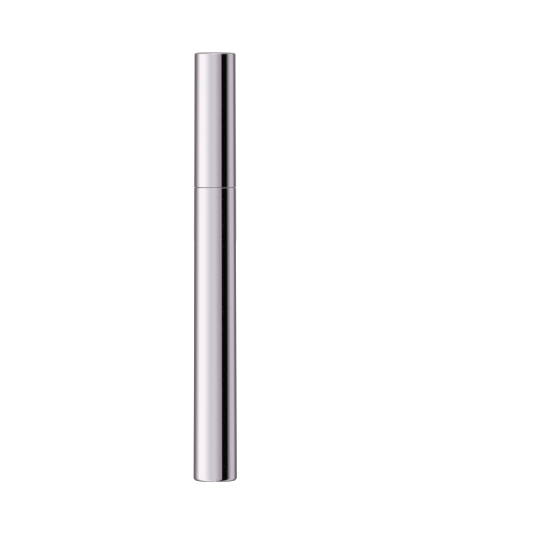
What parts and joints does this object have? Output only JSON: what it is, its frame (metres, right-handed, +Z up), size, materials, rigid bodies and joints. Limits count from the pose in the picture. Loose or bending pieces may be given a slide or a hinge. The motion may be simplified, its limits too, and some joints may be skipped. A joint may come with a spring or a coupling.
{
  "type": "mascara tube",
  "caption": "Slim mascara: a tapered metal-sleeved bottle with a threaded neck and wiper, and a screw cap that carries a rod with a moulded bristle brush.",
  "frame": {"origin": "centre of the base, on the surface that the closed tube stands on", "axes": "+Z up along the tube's axis towards the cap; the thread starts on the -Y side, which is the front"},
  "size_m": [0.0134, 0.0134, 0.131],
  "materials": {
    "sleeve_metal": "polished, faint rose tint",
    "weight_steel": "plain zinc-plated",
    "pearl_plastic": "glossy pearl-white, slightly translucent",
    "wiper_plastic": "soft satin black",
    "liner_foam": "matt foam sheet",
    "black_plastic": "glossy moulded black",
    "brush_plastic": "satin moulded elastomer"
  },
  "bodies": {
    "bottle": {"bottle_sleeve": "sleeve_metal", "base_weight": "weight_steel", "inner_bottle": "pearl_plastic", "wiper": "wiper_plastic"},
    "sealing_washer": {"cap_liner": "liner_foam"},
    "cap_slug": {"cap_weight": "weight_steel"},
    "applicator": {"cap_shell": "sleeve_metal", "inner_cap": "black_plastic", "rod": "black_plastic", "brush": "brush_plastic"}
  },
  "joints": [
    {"name": "wand_withdraw", "type": "slide", "parent": "bottle", "child": "sealing_washer", "axis": [0, 0, 1], "range_m": [0, 0.095], "deforming": ["wiper"]},
    {"name": "thread_rise", "type": "slide", "parent": "sealing_washer", "child": "cap_slug", "axis": [0, 0, 1], "range_m": [0, 0.0041]},
    {"name": "cap_twist", "type": "hinge", "parent": "cap_slug", "child": "applicator", "pos_m": [0, 0, 0.09], "axis": [0, 0, 1], "range_deg": [0, 810]}
  ],
  "couplings": [
    {"joint": "thread_rise", "follows": "cap_twist", "m_per_rad": 0.00028966}
  ]
}
